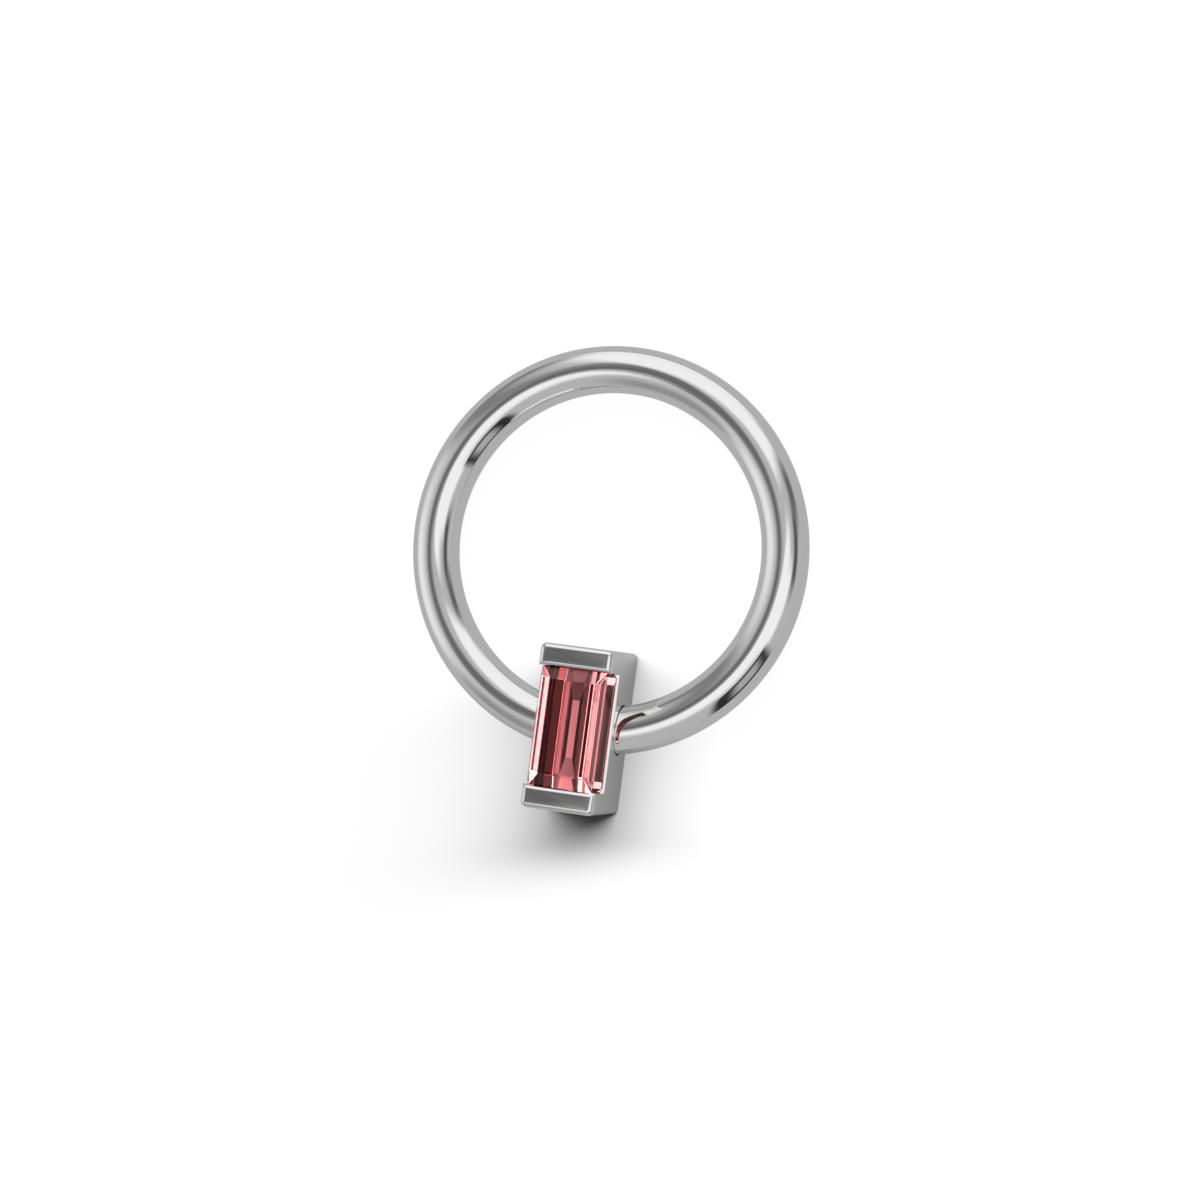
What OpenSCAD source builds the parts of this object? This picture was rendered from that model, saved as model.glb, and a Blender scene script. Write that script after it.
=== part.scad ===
// Captive ring: an open hoop of round wire, closed by a bar-set block that carries a baguette stone.
// It lies on its side with the stone facing up. +Z is the way the stone faces, and +Y runs from
// the setting to the far side of the hoop. The origin is the middle of its footprint, on the surface.

/* [Hoop] */
// Thickness of the round wire
wire_d = 1.2; // [1.0:0.1:1.3]
// Opening across the inside of the hoop
inner_d = 8.0; // [7:0.5:12]
// How far each wire end runs into the side of the setting
end_depth = 0.2; // [0.1:0.05:0.2]
// Clearance round a wire end in its socket
socket_gap = 0.03; // [0.02:0.01:0.04]

/* [Stone] */
// Width of the stone over its girdle
stone_w = 1.96; // [1.9:0.02:2.1]
// Length of the stone over its girdle
stone_l = 3.2; // [3.2:0.02:4.0]
// Width of the table, the flat top facet
table_w = 1.19; // [1.1:0.01:1.3]
// Length of the table
table_l = 2.39; // [2.3:0.01:2.6]
// Height of the table above the middle of the girdle
crown_h = 0.5; // [0.4:0.02:0.56]
// Thickness of the girdle, the stone's upright edge
girdle_t = 0.06; // [0.04:0.01:0.08]
// Depth of the keel, the narrow lowest facet, below the middle of the girdle
pavilion_h = 0.7; // [0.66:0.02:0.76]
// Width of the keel
keel_w = 0.13; // [0.11:0.01:0.14]
// Length of the keel
keel_l = 1.4; // [1.3:0.05:1.6]
// How far each corner of the stone is cut back, so that it stays inside the bars
corner_cut = 0.2; // [0.18:0.01:0.24]

/* [Setting] */
// Height of the base, from its back to the rim beside the stone
base_h = 1.55; // [1.5:0.01:1.7]
// Height of the bars above the rim
bar_h = 0.9; // [0.85:0.01:0.95]
// Thickness of each bar, along the stone
bar_t = 0.57; // [0.5:0.01:0.6]
// How far the stone's ends reach under the bars
bar_hold = 0.1; // [0.1:0.01:0.2]
// How far the stone stands out past each side of the base
overhang = 0.03; // [0.02:0.005:0.06]
// Slope of the rim, down and outwards, in degrees
rim_slope = 20; // [10:1:25]
// Height of the girdle above the rim
girdle_up = 0.375; // [0.36:0.005:0.4]
// Clearance between the stone and its seat
seat_gap = 0.025; // [0.02:0.005:0.03]

/* [Roundings] */
// Radius of the setting's four upright corners
corner_r = 0.15; // [0.14:0.01:0.28]
// Radius of the bars' outer front edges
bar_r = 0.13; // [0.06:0.01:0.14]
// Radius of the bars' front edges beside the stone
bar_in_r = 0.12; // [0.06:0.01:0.14]
// Radius of the back edges
back_r = 0.06; // [0.04:0.01:0.12]

/* [Hidden] */
$fn = 64;

hoop_r = (inner_d + wire_d) / 2;
set_w = stone_w - 2 * overhang;
bar_gap = stone_l - 2 * bar_hold;
set_l = bar_gap + 2 * bar_t;
set_h = base_h + bar_h;
wire_z = base_h / 2;
girdle_z = base_h + girdle_up;

// The footprint runs from the setting's outer end to the far side of the hoop
hoop_y = (set_l - wire_d) / 4;
set_y = hoop_y - hoop_r;

// Rows of the stone's cut: height from the middle of the girdle, half width, half length.
// The crown steps in to the table, and the pavilion steps in to the keel. A row is placed by how far
// it is on the way from the girdle's middle to that facet, in height, across and along.
function crown_row(up, across, along) = [
    up * crown_h,
    (stone_w - across * (stone_w - table_w)) / 2,
    (stone_l - along * (stone_l - table_l)) / 2
];
function pavilion_row(down, across, along) = [
    -down * pavilion_h,
    (stone_w - across * (stone_w - keel_w)) / 2,
    (stone_l - along * (stone_l - keel_l)) / 2
];
cut_rows = [
    crown_row(1, 1, 1),
    crown_row(0.71, 0.39, 0.22),
    crown_row(girdle_t / 2 / crown_h, 0, 0),
    pavilion_row(girdle_t / 2 / pavilion_h, 0, 0),
    pavilion_row(0.667, 0.466, 0.02),
    pavilion_row(0.958, 0.721, 0.21),
    pavilion_row(0.998, 0.864, 0.42),
    pavilion_row(1, 1, 1)
];
width_column = 1;
length_column = 2;

// Outline of the cut across its width or along its length, made larger by grow
module cut_outline(column, grow) {
    last = len(cut_rows) - 1;
    function side(row) = row[column] + grow;
    function level(row) = row[0] + sign(row[0]) * grow;
    polygon(concat(
        [for (i = [0 : last]) [side(cut_rows[i]), level(cut_rows[i])]],
        [for (i = [last : -1 : 0]) [-side(cut_rows[i]), level(cut_rows[i])]]
    ));
}

// Outline of the cut from the front: a diamond so large that it only takes the four corners off
module corner_outline(grow) {
    reach = (stone_w + stone_l) / 2 - corner_cut + grow * sqrt(2);
    polygon([[reach, 0], [0, reach], [-reach, 0], [0, -reach]]);
}

// The step cut: the facets along the sides meet those across the ends in mitred corners
module step_cut(grow = 0) {
    translate([0, set_y, girdle_z])
        intersection() {
            rotate([90, 0, 0])
                linear_extrude(height = 2 * stone_l, center = true)
                    cut_outline(width_column, grow);
            rotate([90, 0, 90])
                linear_extrude(height = 2 * stone_w, center = true)
                    cut_outline(length_column, grow);
            linear_extrude(height = 2 * stone_w, center = true)
                corner_outline(grow);
        }
}

// The wire's ring, open where the setting sits. Each end stops half_gap from the middle.
module wire_ring(grow, half_gap) {
    translate([0, hoop_y, wire_z])
        difference() {
            rotate_extrude()
                translate([hoop_r, 0])
                    circle(r = wire_d / 2 + grow);
            translate([-half_gap, -2 * hoop_r, -wire_d])
                cube([2 * half_gap, 2 * hoop_r, 2 * wire_d]);
        }
}

// A rectangle that stands on the X axis, with its lower and its upper corners rounded
module soft_rect(w, h) {
    translate([-w / 2, back_r])
        square([w, h - back_r - bar_r]);
    translate([-w / 2 + back_r, 0])
        square([w - 2 * back_r, h / 2]);
    translate([-w / 2 + bar_r, h / 2])
        square([w - 2 * bar_r, h / 2]);
    for (side = [-1, 1]) {
        translate([side * (w / 2 - back_r), back_r])
            circle(r = back_r);
        translate([side * (w / 2 - bar_r), h - bar_r])
            circle(r = bar_r);
    }
}

// The outer form of the setting: a round post at each corner, filled out along and across
module soft_box() {
    for (side = [-1, 1], end = [-1, 1])
        translate([side * (set_w / 2 - corner_r), end * (set_l / 2 - corner_r), 0])
            rotate_extrude()
                intersection() {
                    soft_rect(2 * corner_r, set_h);
                    square([corner_r, set_h]);
                }
    rotate([90, 0, 0])
        linear_extrude(height = set_l - 2 * corner_r, center = true)
            soft_rect(set_w, set_h);
    rotate([90, 0, 90])
        linear_extrude(height = set_w - 2 * corner_r, center = true)
            soft_rect(set_l, set_h);
}

// The gap between the bars from the side, wider in front where the bars' edges are rounded
module gap_view() {
    translate([-bar_gap / 2, 0])
        square([bar_gap, 2 * set_h]);
    for (end = [-1, 1])
        difference() {
            translate([end * (bar_gap + bar_in_r) / 2, set_h])
                square([bar_in_r, 2 * bar_in_r], center = true);
            translate([end * (bar_gap / 2 + bar_in_r), set_h - bar_in_r])
                circle(r = bar_in_r);
        }
}

// Everything in front of the base from its end, over a rim that slopes down and outwards
module above_rim() {
    rim_in = set_w / 3;
    rim_rise = (set_w / 2 - rim_in) * tan(rim_slope);
    polygon([
        [-set_w, base_h],
        [-set_w / 2, base_h],
        [-rim_in, base_h + rim_rise],
        [rim_in, base_h + rim_rise],
        [set_w / 2, base_h],
        [set_w, base_h],
        [set_w, 2 * set_h],
        [-set_w, 2 * set_h]
    ]);
}

// The block with its two bars, before the seat and the sockets are cut
module block() {
    translate([0, set_y, 0])
        difference() {
            soft_box();
            intersection() {
                rotate([90, 0, 90])
                    linear_extrude(height = 2 * set_w, center = true)
                        gap_view();
                rotate([90, 0, 0])
                    linear_extrude(height = 2 * set_l, center = true)
                        above_rim();
            }
        }
}

module hoop() {
    color([0.78, 0.78, 0.77])
        wire_ring(0, set_w / 2 - end_depth);
}

module setting() {
    color([0.72, 0.72, 0.71])
        difference() {
            block();
            step_cut(seat_gap);
            wire_ring(socket_gap, set_w / 2 - end_depth - socket_gap);
        }
}

module stone() {
    color([0.55, 0.1, 0.13, 0.85])
        step_cut();
}

hoop();
setting();
stone();
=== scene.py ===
import math
import bmesh
import bpy
from mathutils import Matrix, Vector


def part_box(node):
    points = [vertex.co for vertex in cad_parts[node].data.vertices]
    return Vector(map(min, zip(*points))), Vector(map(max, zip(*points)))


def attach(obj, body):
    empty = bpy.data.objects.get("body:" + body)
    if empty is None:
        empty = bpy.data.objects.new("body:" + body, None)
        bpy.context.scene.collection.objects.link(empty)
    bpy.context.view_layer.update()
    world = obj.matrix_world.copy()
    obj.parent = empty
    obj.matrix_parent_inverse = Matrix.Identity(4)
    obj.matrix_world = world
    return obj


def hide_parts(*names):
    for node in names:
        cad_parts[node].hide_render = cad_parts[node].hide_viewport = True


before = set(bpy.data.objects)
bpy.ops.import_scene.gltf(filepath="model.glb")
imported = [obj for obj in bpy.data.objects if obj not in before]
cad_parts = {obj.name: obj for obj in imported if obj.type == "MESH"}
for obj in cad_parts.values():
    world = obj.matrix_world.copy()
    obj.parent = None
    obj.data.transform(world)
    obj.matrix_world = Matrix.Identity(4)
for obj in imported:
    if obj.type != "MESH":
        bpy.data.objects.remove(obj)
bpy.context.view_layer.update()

# The camera
# It looks down on the ring at the photograph's angle to it: almost straight along the hoop's axis,
# from a little to the right, with the picture turned so that the setting hangs lower left of middle.
MM = 0.001
hoop_low, hoop_high = [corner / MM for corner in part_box("hoop")]
wire_r = (hoop_high.z - hoop_low.z) / 2
hoop_r = (hoop_high.x - hoop_low.x) / 2 - wire_r
hoop_middle = Vector((0, hoop_high.y - wire_r - hoop_r, (hoop_low.z + hoop_high.z) / 2))
PICTURE_PX = 1200
FOCAL_PX = 3000
HOOP_PX = Vector((608.2, 549.8))
SENSOR_MM = 36
VIEW_DISTANCE = 76.2
view_side = math.radians(15.78)
view_lean = math.radians(-0.88)
view_roll = math.radians(7.52)
back = Vector((
    math.sin(view_side) * math.cos(view_lean),
    math.sin(view_lean),
    math.cos(view_side) * math.cos(view_lean),
))
right = Vector((0, 1, 0)).cross(back).normalized()
right.rotate(Matrix.Rotation(view_roll, 3, back))
up = back.cross(right)
px_size = VIEW_DISTANCE / FOCAL_PX
camera_data = bpy.data.cameras.new("camera")
camera_data.sensor_width = SENSOR_MM
camera_data.lens = SENSOR_MM * FOCAL_PX / PICTURE_PX
camera_data.clip_start = 0.005
camera_data.clip_end = 2.0
camera = bpy.data.objects.new("camera", camera_data)
camera_place = (
    hoop_middle
    + back * VIEW_DISTANCE
    + right * (PICTURE_PX / 2 - HOOP_PX.x) * px_size
    - up * (PICTURE_PX / 2 - HOOP_PX.y) * px_size
)
camera_turn = Matrix((right, up, back)).transposed()
camera.matrix_world = Matrix.Translation(camera_place * MM) @ camera_turn.to_4x4()
bpy.context.scene.collection.objects.link(camera)
bpy.context.scene.camera = camera
bpy.context.scene.view_settings.view_transform = "Standard"

# The floor
# A plain pale table top that the ring lies on, wide enough to fill every view. The camera sees it
# brightly lit, as in the photograph, while the metal mirrors it in a darker painted grey, and the stone
# shows it in a painted shade darker still.
FLOOR_HALF = 0.45
SEEN_FLOOR = 0.08
MIRRORED_FLOOR_SHADE = 0.038
STONE_FLOOR_SHADE = 0.017
floor_shape = bmesh.new()
bmesh.ops.create_grid(floor_shape, x_segments=1, y_segments=1, size=FLOOR_HALF)
floor_mesh = bpy.data.meshes.new("floor")
floor_shape.to_mesh(floor_mesh)
floor_shape.free()
floor = bpy.data.objects.new("floor", floor_mesh)
bpy.context.scene.collection.objects.link(floor)
floor_paint = bpy.data.materials.new("floor_paint")
floor_paint.use_nodes = True
floor_nodes = floor_paint.node_tree
floor_shader = floor_nodes.nodes["Principled BSDF"]
floor_shader.inputs["Roughness"].default_value = 0.9
floor_shader.inputs["Specular IOR Level"].default_value = 0.0
# Painted shade: rays that the metal mirrors get a darker floor colour, and rays through the stone a darker
# one still, standing in for the block's shade.
floor_looker = floor_nodes.nodes.new("ShaderNodeLightPath")
floor_shade = floor_nodes.nodes.new("ShaderNodeMapRange")
floor_shade.inputs["To Min"].default_value = MIRRORED_FLOOR_SHADE
floor_shade.inputs["To Max"].default_value = STONE_FLOOR_SHADE
floor_nodes.links.new(floor_looker.outputs["Is Transmission Ray"], floor_shade.inputs["Value"])
floor_tone = floor_nodes.nodes.new("ShaderNodeMapRange")
floor_nodes.links.new(floor_shade.outputs["Result"], floor_tone.inputs["To Min"])
floor_tone.inputs["To Max"].default_value = SEEN_FLOOR
floor_nodes.links.new(floor_looker.outputs["Is Camera Ray"], floor_tone.inputs["Value"])
floor_nodes.links.new(floor_tone.outputs["Result"], floor_shader.inputs["Base Color"])
floor_mesh.materials.append(floor_paint)

# The studio
# Soft light from all round, which polished metal mirrors: broad white panels with darker gaps
# between them, as in a light tent. Each panel or gap is a soft-edged stretch of the sky.
studio = bpy.data.worlds.new("studio")
studio.use_nodes = True
bpy.context.scene.world = studio
panel = bpy.data.node_groups.new("studio_panel", "ShaderNodeTree")
for socket in ("Below", "Bearing", "Half Bearing", "Tilt", "Half Tilt", "Edge", "Level"):
    panel.interface.new_socket(socket, in_out="INPUT", socket_type="NodeSocketFloat")
panel.interface.new_socket("Light", in_out="OUTPUT", socket_type="NodeSocketFloat")
panel_in = panel.nodes.new("NodeGroupInput")
panel_out = panel.nodes.new("NodeGroupOutput")
sky_way = panel.nodes.new("ShaderNodeTexCoord")
sky_parts = panel.nodes.new("ShaderNodeSeparateXYZ")
panel.links.new(sky_way.outputs["Generated"], sky_parts.inputs[0])


def sum_in(tree, operation, *values):
    node = tree.nodes.new("ShaderNodeMath")
    node.operation = operation
    for socket, value in zip(node.inputs, values):
        if isinstance(value, (int, float)):
            socket.default_value = value
        else:
            tree.links.new(value, socket)
    return node.outputs[0]


def panel_side(distance, half):
    fade = panel.nodes.new("ShaderNodeMapRange")
    fade.interpolation_type = "SMOOTHSTEP"
    panel.links.new(distance, fade.inputs["Value"])
    panel.links.new(sum_in(panel, "ADD", half, panel_in.outputs["Edge"]), fade.inputs["From Min"])
    panel.links.new(sum_in(panel, "SUBTRACT", half, panel_in.outputs["Edge"]), fade.inputs["From Max"])
    return fade.outputs["Result"]


bearing = sum_in(panel, "ARCTAN2", sky_parts.outputs["Y"], sky_parts.outputs["X"])
bearing_off = sum_in(panel, "SUBTRACT", bearing, panel_in.outputs["Bearing"])
bearing_off = sum_in(panel, "ABSOLUTE", sum_in(panel, "WRAP", bearing_off, math.pi, -math.pi))
tilt = sum_in(panel, "ARCCOSINE", sky_parts.outputs["Z"])
tilt_off = sum_in(panel, "ABSOLUTE", sum_in(panel, "SUBTRACT", tilt, panel_in.outputs["Tilt"]))
inside = sum_in(
    panel, "MULTIPLY",
    panel_side(bearing_off, panel_in.outputs["Half Bearing"]),
    panel_side(tilt_off, panel_in.outputs["Half Tilt"]),
)
panel_step = sum_in(panel, "SUBTRACT", panel_in.outputs["Level"], panel_in.outputs["Below"])
panel_light = sum_in(panel, "MULTIPLY_ADD", inside, panel_step, panel_in.outputs["Below"])
panel.links.new(panel_light, panel_out.inputs["Light"])

# Columns: bearing from +X, half its spread, tilt from straight up, half its spread, and the softness of
# the edge, all in degrees. The last column is the level of light.
TENT_LEVEL = 0.50
PANELS = {
    "far_panel": (84, 40, 52, 25, 8, 0.98),
    "far_low": (89, 29, 88, 14, 8, 0.96),
    "near_panel": (-52, 80, 14, 20, 10, 0.98),
    "near_arm": (-14, 20, 36, 15, 8, 0.98),
    "left_glow": (190, 24, 67, 20, 18, 0.88),
    "zenith_gap": (162, 40, 18, 10, 11, 0.13),
    "zenith_tail": (204, 12, 26, 5, 6, 0.16),
    "left_gap": (148, 9, 52, 34, 8, 0.23),
    "left_low_gap": (139, 13, 86, 16, 9, 0.24),
    "right_gap": (11, 16, 63, 10, 8, 0.09),
    "right_mid_gap": (32, 11, 74, 14, 9, 0.14),
    "low_right_gap": (-44, 15, 67, 24, 3, 0.03),
    "low_right_glow": (-42, 7, 66, 15, 4, 0.42),
    "low_left_gap": (236, 22, 74, 20, 12, 0.31),
}
sky = studio.node_tree


def sky_panel(below, place, level):
    lit = sky.nodes.new("ShaderNodeGroup")
    lit.node_tree = panel
    for socket, angle in zip(("Bearing", "Half Bearing", "Tilt", "Half Tilt", "Edge"), place):
        lit.inputs[socket].default_value = math.radians(angle)
    lit.inputs["Level"].default_value = level
    if isinstance(below, float):
        lit.inputs["Below"].default_value = below
    else:
        sky.links.new(below, lit.inputs["Below"])
    return lit.outputs["Light"]


sky_light = TENT_LEVEL
for *place, level in PANELS.values():
    sky_light = sky_panel(sky_light, place, level)

# Seen through the stone, the panels are far brighter than white, the near one is dimmed, and the gaps
# stay dark. Behind the ring the tent is plain white.
THROUGH_STONE = 10.5
PANEL_CONTRAST = 2.8
NEAR_IN_STONE = 0.42
looker = sky.nodes.new("ShaderNodeLightPath")
through_power = sum_in(sky, "POWER", sky_light, PANEL_CONTRAST)
through_boost = sum_in(sky, "MULTIPLY", through_power, THROUGH_STONE)
near_dimmer = sky_panel(1.0, PANELS["near_panel"][:-1], NEAR_IN_STONE)
in_stone = sky.nodes.new("ShaderNodeMix")
sky.links.new(looker.outputs["Is Transmission Ray"], in_stone.inputs["Factor"])
sky.links.new(sky_light, in_stone.inputs["A"])
sky.links.new(sum_in(sky, "MULTIPLY", through_boost, near_dimmer), in_stone.inputs["B"])
sky_light = sum_in(sky, "MAXIMUM", in_stone.outputs["Result"], looker.outputs["Is Camera Ray"])
tent = sky.nodes["Background"]
sky.links.new(sky_light, tent.inputs["Color"])

# A long soft box over the far side lights the floor, and gives the block its soft shadow in front. The
# thin wire casts no shadow of its own from it, because the photograph shows none.
BOX_WATTS = 1140
BOX_SIZE = (5.6, 0.65)
BOX_DISTANCE = 2.0
BOX_UP = 0.52
BOX_RIGHT = 0.18
BOX_LIFT = 0.85
box_data = bpy.data.lights.new("soft_box", "AREA")
box_data.shape = "RECTANGLE"
box_data.size, box_data.size_y = BOX_SIZE
box_data.energy = BOX_WATTS
soft_box = bpy.data.objects.new("soft_box", box_data)
box_way = (up * BOX_UP + right * BOX_RIGHT + Vector((0, 0, BOX_LIFT))).normalized()
box_rise = box_way.cross(right).normalized()
box_turn = Matrix((box_rise.cross(box_way), box_rise, box_way)).transposed()
soft_box.matrix_world = Matrix.Translation(box_way * BOX_DISTANCE) @ box_turn.to_4x4()
soft_box.visible_camera = False
soft_box.visible_glossy = False
soft_box.visible_transmission = False
shades = bpy.data.collections.new("shades")
soft_box.light_linking.blocker_collection = shades
bpy.context.scene.collection.objects.link(soft_box)

# The stone
# A step-cut baguette of red cubic zirconia: a flat table in front, and facets that step down to
# a keel at the back. It is cut and polished, and sits in the block with its ends under the bars.
TABLE_W = 1.19
TABLE_L = 2.39
CROWN_H = 0.5
GIRDLE_T = 0.06
KEEL_W = 0.13
KEEL_L = 1.4
CORNER_CUT = 0.2
FACET_EDGE = 0.012
EDGE_STEPS = 2
ON_PLANE = 0.00001
stone_low, stone_high = [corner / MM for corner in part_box("stone")]
stone_w = stone_high.x - stone_low.x
stone_l = stone_high.y - stone_low.y
girdle_z = stone_high.z - CROWN_H
pavilion_h = girdle_z - stone_low.z
stone_middle = Vector((0, (stone_low.y + stone_high.y) / 2, girdle_z))


# Rows of the cut: height from the middle of the girdle, half width, half length. A row is placed by how
# far it is on the way from the girdle's middle to the table or the keel, in height, across and along.
def crown_row(up, across, along):
    return (
        up * CROWN_H,
        (stone_w - across * (stone_w - TABLE_W)) / 2,
        (stone_l - along * (stone_l - TABLE_L)) / 2,
    )


def pavilion_row(down, across, along):
    return (
        -down * pavilion_h,
        (stone_w - across * (stone_w - KEEL_W)) / 2,
        (stone_l - along * (stone_l - KEEL_L)) / 2,
    )


cut_rows = [
    crown_row(1, 1, 1),
    crown_row(0.71, 0.39, 0.22),
    crown_row(GIRDLE_T / 2 / CROWN_H, 0, 0),
    pavilion_row(GIRDLE_T / 2 / pavilion_h, 0, 0),
    pavilion_row(0.667, 0.466, 0.02),
    pavilion_row(0.958, 0.721, 0.21),
    pavilion_row(0.998, 0.864, 0.42),
    pavilion_row(1, 1, 1),
]


# The cut from its table down, made larger by grow: each row's outline is drawn out of the one above, and
# the corners are cut back, so that they stay inside the bars
def step_cut(grow):
    cut = bmesh.new()
    corners = bmesh.ops.create_grid(cut, x_segments=1, y_segments=1, size=1)["verts"]
    outline = cut.edges[:]
    for height, half_width, half_length in cut_rows:
        if height < CROWN_H:
            drawn = bmesh.ops.extrude_edge_only(cut, edges=outline)["geom"]
            corners = [part for part in drawn if isinstance(part, bmesh.types.BMVert)]
            outline = [part for part in drawn if isinstance(part, bmesh.types.BMEdge) and part.is_boundary]
        for corner in corners:
            corner.co = (
                math.copysign(half_width + grow, corner.co.x),
                math.copysign(half_length + grow, corner.co.y),
                height + math.copysign(grow, height),
            )
    bmesh.ops.holes_fill(cut, edges=[line for line in cut.edges if line.is_boundary], sides=4)
    reach = (stone_w + stone_l) / 2 - CORNER_CUT + grow * math.sqrt(2)
    for side, end in ((1, 1), (1, -1), (-1, -1), (-1, 1)):
        bmesh.ops.bisect_plane(
            cut, geom=cut.verts[:] + cut.edges[:] + cut.faces[:], dist=ON_PLANE,
            plane_co=(side * reach, 0, 0), plane_no=(side, end, 0), clear_outer=True,
        )
        bmesh.ops.holes_fill(cut, edges=[line for line in cut.edges if line.is_boundary], sides=0)
    bmesh.ops.recalc_face_normals(cut, faces=cut.faces)
    bmesh.ops.translate(cut, vec=stone_middle, verts=cut.verts)
    return cut


# A shape made in millimetres becomes an object in metres
def finished(shape, name, *finishes):
    bmesh.ops.scale(shape, vec=(MM, MM, MM), verts=shape.verts)
    mesh = bpy.data.meshes.new(name)
    shape.to_mesh(mesh)
    shape.free()
    for finish in finishes:
        mesh.materials.append(finish)
    piece = bpy.data.objects.new(name, mesh)
    bpy.context.scene.collection.objects.link(piece)
    return piece


# Polish: a faint unevenness in the surface, and a haze that comes and goes, as a felt wheel leaves it
polish = bpy.data.node_groups.new("polish", "ShaderNodeTree")
for socket in ("Gloss", "Haze", "Ripple"):
    polish.interface.new_socket(socket, in_out="INPUT", socket_type="NodeSocketFloat")
polish.interface.new_socket("Roughness", in_out="OUTPUT", socket_type="NodeSocketFloat")
polish.interface.new_socket("Tone", in_out="OUTPUT", socket_type="NodeSocketFloat")
polish.interface.new_socket("Normal", in_out="OUTPUT", socket_type="NodeSocketVector")
polish_in = polish.nodes.new("NodeGroupInput")
polish_out = polish.nodes.new("NodeGroupOutput")
polish_place = polish.nodes.new("ShaderNodeTexCoord")


def polish_noise(size, detail, stretch=(1, 1, 1)):
    drawn = polish.nodes.new("ShaderNodeMapping")
    drawn.inputs["Scale"].default_value = [part / (size * MM) for part in stretch]
    polish.links.new(polish_place.outputs["Object"], drawn.inputs["Vector"])
    noise = polish.nodes.new("ShaderNodeTexNoise")
    noise.inputs["Scale"].default_value = 1.0
    noise.inputs["Detail"].default_value = detail
    polish.links.new(drawn.outputs["Vector"], noise.inputs["Vector"])
    return noise.outputs["Fac"]


RIPPLE_SIZE = 0.9
HAIRLINE_SIZE = 0.03
HAIRLINE_STRETCH = (1, 0.12, 1)
HAIRLINE_DEPTH = 0.004
CLOUD_SIZE = 0.25
ripple = polish_noise(RIPPLE_SIZE, detail=1.0)
hairlines = polish_noise(HAIRLINE_SIZE, detail=2.0, stretch=HAIRLINE_STRETCH)
cloud = polish_noise(CLOUD_SIZE, detail=3.0)
surface = sum_in(polish, "MULTIPLY_ADD", hairlines, HAIRLINE_DEPTH, ripple)
bump = polish.nodes.new("ShaderNodeBump")
bump.inputs["Strength"].default_value = 1.0
polish.links.new(sum_in(polish, "MULTIPLY", polish_in.outputs["Ripple"], MM), bump.inputs["Distance"])
polish.links.new(surface, bump.inputs["Height"])
polish.links.new(bump.outputs["Normal"], polish_out.inputs["Normal"])
haze = sum_in(polish, "MULTIPLY", cloud, polish_in.outputs["Haze"])
polish.links.new(sum_in(polish, "ADD", haze, polish_in.outputs["Gloss"]), polish_out.inputs["Roughness"])
polish.links.new(cloud, polish_out.inputs["Tone"])

red_stone = bpy.data.materials.new("red_stone")
red_stone.use_nodes = True
stone_nodes = red_stone.node_tree
stone_shader = stone_nodes.nodes["Principled BSDF"]
stone_shader.inputs["Base Color"].default_value = (1, 0.80, 0.80, 1)
stone_shader.inputs["IOR"].default_value = 2.2
stone_shader.inputs["Specular Tint"].default_value = (0.6, 0.36, 0.36, 1)
stone_shader.inputs["Transmission Weight"].default_value = 1.0
stone_polish = stone_nodes.nodes.new("ShaderNodeGroup")
stone_polish.node_tree = polish
stone_polish.inputs["Gloss"].default_value = 0.0
stone_polish.inputs["Haze"].default_value = 0.01
stone_polish.inputs["Ripple"].default_value = 0.0004
stone_nodes.links.new(stone_polish.outputs["Roughness"], stone_shader.inputs["Roughness"])
stone_nodes.links.new(stone_polish.outputs["Normal"], stone_shader.inputs["Normal"])
stone_depth = stone_nodes.nodes.new("ShaderNodeVolumeAbsorption")
stone_depth.inputs["Color"].default_value = (0.93, 0.76, 0.765, 1)
stone_depth.inputs["Density"].default_value = 2000
stone_nodes.links.new(stone_depth.outputs[0], stone_nodes.nodes["Material Output"].inputs["Volume"])

stone_shape = step_cut(0)
bmesh.ops.bevel(
    stone_shape, geom=stone_shape.edges[:], affect="EDGES", offset=FACET_EDGE, segments=EDGE_STEPS,
    profile=0.5, material=-1, clamp_overlap=True,
)
cut_stone = finished(stone_shape, "cut_stone", red_stone)
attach(cut_stone, "root")
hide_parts("stone")
shades.objects.link(cut_stone)

# The hoop
# Round polished steel wire, bent into a circle that is left open where the setting goes. Its two ends
# are cut square to the opening, and spring into a socket in each side of the block.
END_DEPTH = 0.2
SOCKET_GAP = 0.03
WIRE_SIDES = 72
BEND_STEPS = 300
WIRE_CREASE = 35
setting_low, setting_high = [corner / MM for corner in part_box("setting")]
set_w = setting_high.x - setting_low.x


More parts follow.
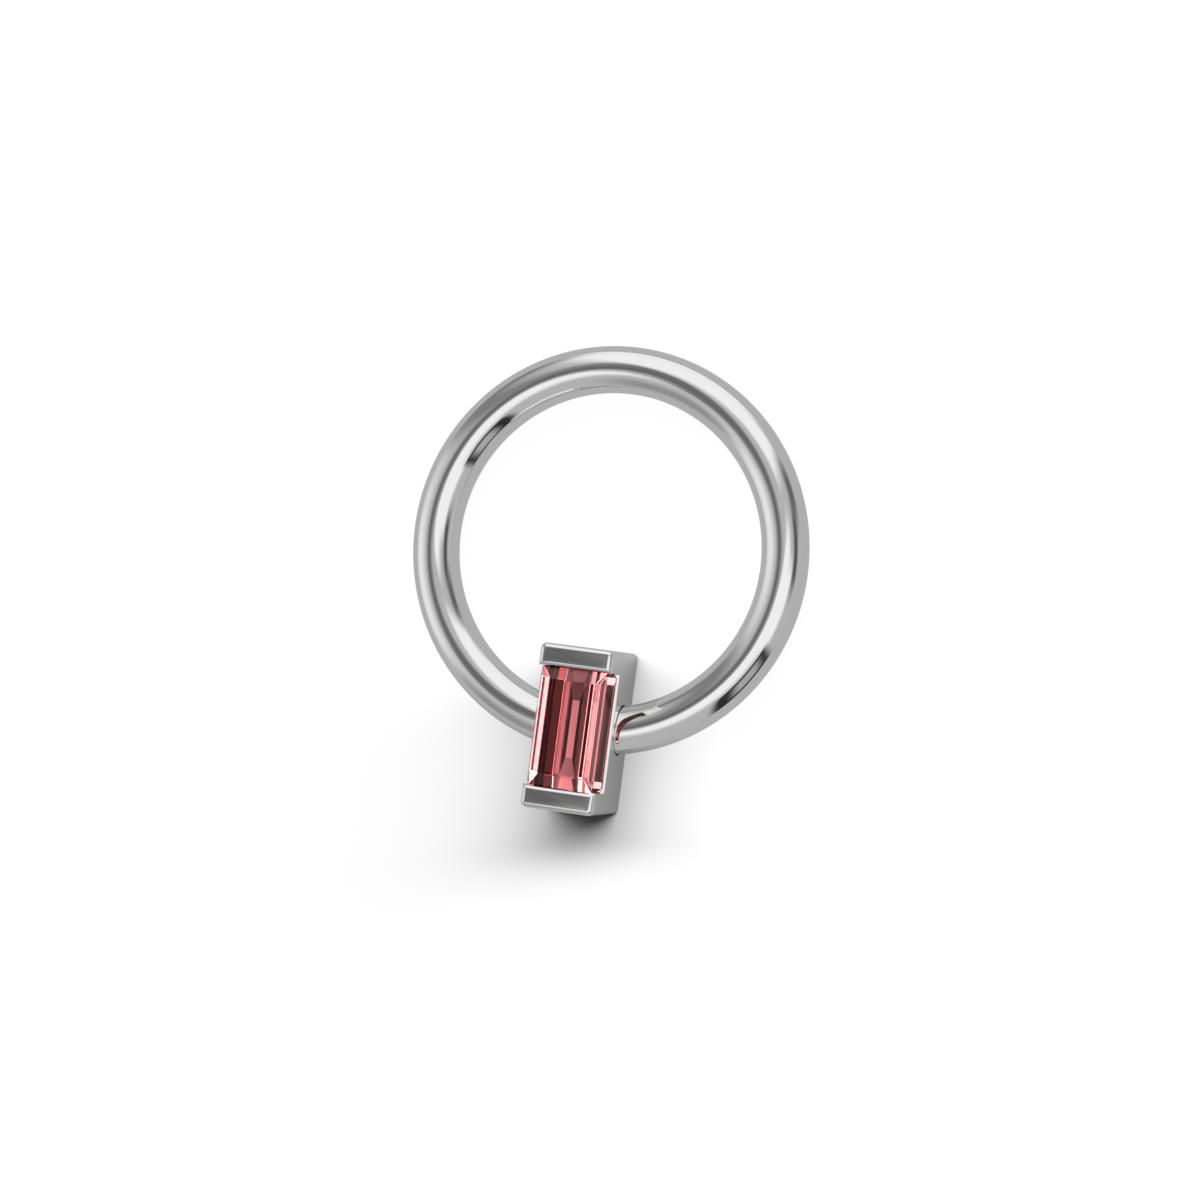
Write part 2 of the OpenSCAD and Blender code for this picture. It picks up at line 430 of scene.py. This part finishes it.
# The wire, made thicker by grow. It is bent a little too far at both ends, and each end is then cut
# back square, to half_gap from the middle
def bent_wire(grow, half_gap):
    wire = bmesh.new()
    bmesh.ops.create_circle(wire, cap_ends=False, segments=WIRE_SIDES, radius=wire_r + grow)
    bmesh.ops.rotate(wire, cent=(0, 0, 0), matrix=Matrix.Rotation(math.pi / 2, 3, "X"), verts=wire.verts)
    bmesh.ops.translate(wire, vec=(hoop_r, 0, 0), verts=wire.verts)
    opening = math.asin(half_gap / (hoop_r + 2 * wire_r))
    start = Matrix.Rotation(opening - math.pi / 2, 3, "Z")
    bmesh.ops.rotate(wire, cent=(0, 0, 0), matrix=start, verts=wire.verts)
    bmesh.ops.spin(
        wire, geom=wire.verts[:] + wire.edges[:], cent=(0, 0, 0), axis=(0, 0, 1),
        angle=2 * (math.pi - opening), steps=BEND_STEPS, use_merge=False, use_duplicate=False,
    )
    for side in (-1, 1):
        end = [face for face in wire.faces if face.calc_center_median().x * side > 0]
        end = [face for face in end if face.calc_center_median().y < -hoop_r / 2]
        end_parts = set(end) | {line for face in end for line in face.edges}
        end_parts |= {point for face in end for point in face.verts}
        bmesh.ops.bisect_plane(
            wire, geom=list(end_parts), dist=ON_PLANE, plane_co=(side * half_gap, 0, 0),
            plane_no=(-side, 0, 0), clear_outer=True,
        )
    bmesh.ops.holes_fill(wire, edges=[line for line in wire.edges if line.is_boundary], sides=0)
    bmesh.ops.recalc_face_normals(wire, faces=wire.faces)
    bmesh.ops.translate(wire, vec=hoop_middle, verts=wire.verts)
    return wire


# Metal whose tone comes and goes with the haze by a small share
TONE_SWING = 0.03


def metal_finish_and_painted_light(name, tone, gloss, haze, ripple):
    metal = bpy.data.materials.new(name)
    metal.use_nodes = True
    nodes = metal.node_tree
    shader = nodes.nodes["Principled BSDF"]
    shader.inputs["Metallic"].default_value = 1.0
    wheel = nodes.nodes.new("ShaderNodeGroup")
    wheel.node_tree = polish
    wheel.inputs["Gloss"].default_value = gloss
    wheel.inputs["Haze"].default_value = haze
    wheel.inputs["Ripple"].default_value = ripple
    nodes.links.new(wheel.outputs["Roughness"], shader.inputs["Roughness"])
    nodes.links.new(wheel.outputs["Normal"], shader.inputs["Normal"])
    colour = nodes.nodes.new("ShaderNodeMix")
    colour.data_type = "RGBA"
    colour.inputs["A"].default_value = [(1 - TONE_SWING) * part for part in tone] + [1]
    colour.inputs["B"].default_value = [(1 + TONE_SWING) * part for part in tone] + [1]
    nodes.links.new(wheel.outputs["Tone"], colour.inputs["Factor"])
    nodes.links.new(colour.outputs["Result"], shader.inputs["Base Color"])
    return metal


bright_wire = metal_finish_and_painted_light("bright_wire", (0.87, 0.87, 0.865), gloss=0.03, haze=0.04, ripple=0.0008)
wire_shape = bent_wire(0, set_w / 2 - END_DEPTH)
hoop_wire = finished(wire_shape, "hoop_wire", bright_wire)
hoop_wire.data.shade_smooth()
hoop_wire.data.set_sharp_from_angle(angle=math.radians(WIRE_CREASE))
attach(hoop_wire, "root")
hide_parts("hoop")

# The setting
# One block of polished steel with a bar left standing at each end. The bars hold the ends of the
# stone, whose sides lie open over a sloping rim. Seat and sockets are cut into it and left dull, and
# their tones are painted light and shade: darker in the sockets, lighter and darker bands in the seat.
BAR_T = 0.57
BASE_H = 1.55
RIM_SLOPE = 20
SEAT_GAP = 0.025
CORNER_R = 0.15
BAR_R = 0.13
BAR_IN_R = 0.12
BACK_R = 0.06
CORNER_STEPS = 14
BAR_STEPS = 10
BACK_STEPS = 6
CUT_EDGE = 0.012
RUN_OUT = 0.0005
PAST_BLOCK = 1
SAME_LEVEL = 0.0001
WELD = 0.005
BLOCK_CREASE = 30
set_l = setting_high.y - setting_low.y
set_h = setting_high.z
set_middle = (setting_low + setting_high) / 2
half_bar_gap = set_l / 2 - BAR_T

# The seat's tones show only through the stone, and are chosen for the bands that they give it: painted
# light and shade, with a painted red light on the sides.
bright_block = metal_finish_and_painted_light("bright_block", (0.86, 0.86, 0.85), gloss=0.04, haze=0.04, ripple=0.0006)
# Painted shade: the sockets' cut is left rough, and is given a darker tone than the block's metal.
dull_shaded_cut = metal_finish_and_painted_light("dull_shaded_cut", (0.42, 0.41, 0.40), gloss=0.30, haze=0.15, ripple=0.004)
seat_floor_light = metal_finish_and_painted_light("seat_floor_light", (0.98, 0.98, 0.98), gloss=0.50, haze=0.15, ripple=0.004)
seat_crease_shade = metal_finish_and_painted_light("seat_crease_shade", (0.06, 0.06, 0.06), gloss=0.30, haze=0.15, ripple=0.004)
seat_bed_shade = metal_finish_and_painted_light("seat_bed_shade", (0.28, 0.28, 0.28), gloss=0.50, haze=0.15, ripple=0.004)
seat_end_light = metal_finish_and_painted_light("seat_end_light", (0.97, 0.97, 0.97), gloss=0.50, haze=0.15, ripple=0.004)
seat_side_red_light = metal_finish_and_painted_light("seat_side_red_light", (0.40, 0.10, 0.11), gloss=0.30, haze=0.15, ripple=0.004)
seat_foot_shade = metal_finish_and_painted_light("seat_foot_shade", (0.62, 0.62, 0.62), gloss=0.50, haze=0.15, ripple=0.004)
block_finishes_and_painted_light = [bright_block, dull_shaded_cut, seat_floor_light, seat_crease_shade, seat_bed_shade, seat_end_light, seat_side_red_light, seat_foot_shade]

block = bmesh.new()
bmesh.ops.create_cube(block, size=1)
bmesh.ops.scale(block, vec=(set_w, set_l, set_h), verts=block.verts)
bmesh.ops.translate(block, vec=set_middle, verts=block.verts)


def round_off(lines, radius, segments):
    bmesh.ops.bevel(
        block, geom=lines, affect="EDGES", offset=radius, segments=segments,
        profile=0.5, material=-1, clamp_overlap=True,
    )


def level_lines(height):
    return [line for line in block.edges if all(abs(end.co.z - height) < SAME_LEVEL for end in line.verts)]


upright = [line for line in block.edges if abs(line.verts[0].co.z - line.verts[1].co.z) > set_h / 2]
round_off(upright, CORNER_R, CORNER_STEPS)
round_off(level_lines(set_h), BAR_R, BAR_STEPS)
round_off(level_lines(0), BACK_R, BACK_STEPS)

# The gap between the bars: one side of its outline runs up the face of a bar and round its edge, which
# runs out a hair above the bar's top. It is mirrored to the other bar, filled, drawn across the block,
# and given the rim's slopes underneath.
gap = bmesh.new()
foot = gap.verts.new((-set_w, half_bar_gap, BASE_H))
round_z = set_h - BAR_IN_R + RUN_OUT
turn = gap.verts.new((-set_w, half_bar_gap, round_z))
gap.edges.new((foot, turn))
rounded = bmesh.ops.spin(
    gap, geom=[turn], cent=(-set_w, half_bar_gap + BAR_IN_R, round_z), axis=(-1, 0, 0),
    angle=math.pi / 2, steps=BAR_STEPS, use_merge=False, use_duplicate=False,
)["geom_last"][0]
gap.edges.new((rounded, gap.verts.new((-set_w, half_bar_gap + BAR_IN_R, set_h + PAST_BLOCK))))
bmesh.ops.mirror(gap, geom=gap.verts[:] + gap.edges[:], axis="Y", merge_dist=-1)
by_height = sorted(gap.verts, key=lambda corner: corner.co.z)
gap.edges.new(by_height[:2])
gap.edges.new(by_height[-2:])
bmesh.ops.edgeloop_fill(gap, edges=gap.edges[:])
drawn = bmesh.ops.extrude_face_region(gap, geom=gap.faces[:])["geom"]
bmesh.ops.translate(
    gap, vec=(2 * set_w, 0, 0), verts=[part for part in drawn if isinstance(part, bmesh.types.BMVert)],
)
rim_in = set_w / 3
for side in (-1, 1):
    bmesh.ops.bisect_plane(
        gap, geom=gap.verts[:] + gap.edges[:] + gap.faces[:], dist=ON_PLANE,
        plane_co=(side * rim_in, 0, 0), plane_no=(1, 0, 0),
    )
for corner in gap.verts:
    if abs(corner.co.z - BASE_H) < SAME_LEVEL:
        corner.co.z += (set_w / 2 - max(abs(corner.co.x), rim_in)) * math.tan(math.radians(RIM_SLOPE))
bmesh.ops.recalc_face_normals(gap, faces=gap.faces)
bmesh.ops.translate(gap, vec=(0, set_middle.y, 0), verts=gap.verts)


# A shape becomes the blank or a cutter, in one finish, or as its faces already are
def set_out(shape, name, finish=None):
    if finish is not None:
        for face in shape.faces:
            face.material_index = block_finishes_and_painted_light.index(finish)
    mesh = bpy.data.meshes.new(name)
    shape.to_mesh(mesh)
    shape.free()
    for finish in block_finishes_and_painted_light:
        mesh.materials.append(finish)
    blank = bpy.data.objects.new(name, mesh)
    bpy.context.scene.collection.objects.link(blank)
    return blank


# The seat's painted light and shade, by how far a face's middle is from the stone's: a painted highlight
# along the floor, painted shade in the creases beside it, then a grey bed and a painted red light on the
# sides. The lower end is painted bright, and the upper one grey and dark.
CREASE_REACH = 0.2
BED_REACH = 0.35
foot_reach = 0.35 * stone_l


# Painted light and shade: each seat face gets a brighter or darker tone than the block's own metal.
def seat_painted_light(across, along):
    if abs(across) + abs(along) < SEAT_GAP:
        return seat_floor_light
    if abs(along) > SEAT_GAP:
        low_row = abs(along) < foot_reach
        if along < 0:
            return seat_foot_shade if low_row else seat_end_light
        return seat_bed_shade if low_row else seat_crease_shade
    if abs(across) < CREASE_REACH:
        return seat_crease_shade
    if abs(across) < BED_REACH:
        return seat_bed_shade
    return seat_side_red_light


seat = step_cut(SEAT_GAP)
for face in seat.faces:
    place = face.calc_center_median() - stone_middle
    face.material_index = block_finishes_and_painted_light.index(seat_painted_light(place.x, place.y))

blank = set_out(block, "blank", bright_block)
sockets = bent_wire(SOCKET_GAP, set_w / 2 - END_DEPTH - SOCKET_GAP)
cutters = [
    set_out(gap, "gap_cutter", bright_block),
    set_out(seat, "seat_cutter"),
    set_out(sockets, "socket_cutter", dull_shaded_cut),
]
for cutter in cutters:
    cut = blank.modifiers.new(cutter.name, "BOOLEAN")
    cut.operation = "DIFFERENCE"
    cut.solver = "EXACT"
    cut.object = cutter

# The cut block, with the points that nearly touch at the tops of its bars made one. They are put in
# order of place first, because the cut leaves them in another order each time.
whole_block = bmesh.new()
whole_block.from_object(blank, bpy.context.evaluated_depsgraph_get())
bar_tops = [point for point in whole_block.verts if point.co.z > set_h - BAR_R]
bar_tops.sort(key=lambda point: [round(part / SAME_LEVEL) for part in point.co])
bmesh.ops.remove_doubles(whole_block, verts=bar_tops, dist=WELD)
for used in [blank] + cutters:
    bpy.data.meshes.remove(used.data)
setting_block = finished(whole_block, "setting_block", *block_finishes_and_painted_light)
setting_block.data.shade_smooth()
setting_block.data.set_sharp_from_angle(angle=math.radians(BLOCK_CREASE))
worn_edges = setting_block.modifiers.new("worn_edges", "BEVEL")
worn_edges.limit_method = "ANGLE"
worn_edges.angle_limit = math.radians(BLOCK_CREASE)
worn_edges.width = CUT_EDGE * MM
worn_edges.segments = EDGE_STEPS
worn_edges.use_clamp_overlap = False
even_faces = setting_block.modifiers.new("even_faces", "WEIGHTED_NORMAL")
even_faces.weight = 100
even_faces.keep_sharp = True
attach(setting_block, "root")
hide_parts("setting")
shades.objects.link(setting_block)
